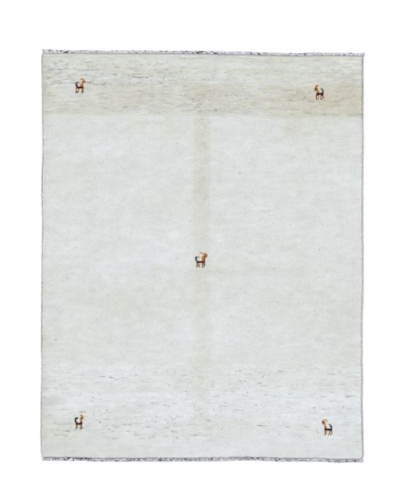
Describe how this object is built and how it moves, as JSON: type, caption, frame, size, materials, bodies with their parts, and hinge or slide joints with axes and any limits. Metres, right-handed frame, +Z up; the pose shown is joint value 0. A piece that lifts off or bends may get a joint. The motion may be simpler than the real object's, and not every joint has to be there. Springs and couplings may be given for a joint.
{
  "type": "gabbeh rug",
  "caption": "Ivory hand-knotted gabbeh rug lying flat, with a warm streaked band, small goats, overcast sides and plaited warp ends.",
  "frame": {"origin": "centre of the rug's outline on the floor it lies on", "axes": "+X across the rug to the right, +Y along it towards the end with the warm band, +Z up out of the pile"},
  "size_m": [1.5128, 1.9246, 0.0154],
  "materials": {
    "ivory_pile": "matt sheared wool pile",
    "overcast_wool": "matt overcast wool yarn",
    "plaited_warp": "matt plaited warp yarn, grey and white"
  },
  "bodies": {
    "root": {"knotted_field": "ivory_pile", "selvedge_left": "overcast_wool", "selvedge_right": "overcast_wool", "end_braid_top": "plaited_warp", "end_braid_bottom": "plaited_warp"}
  },
  "joints": []
}
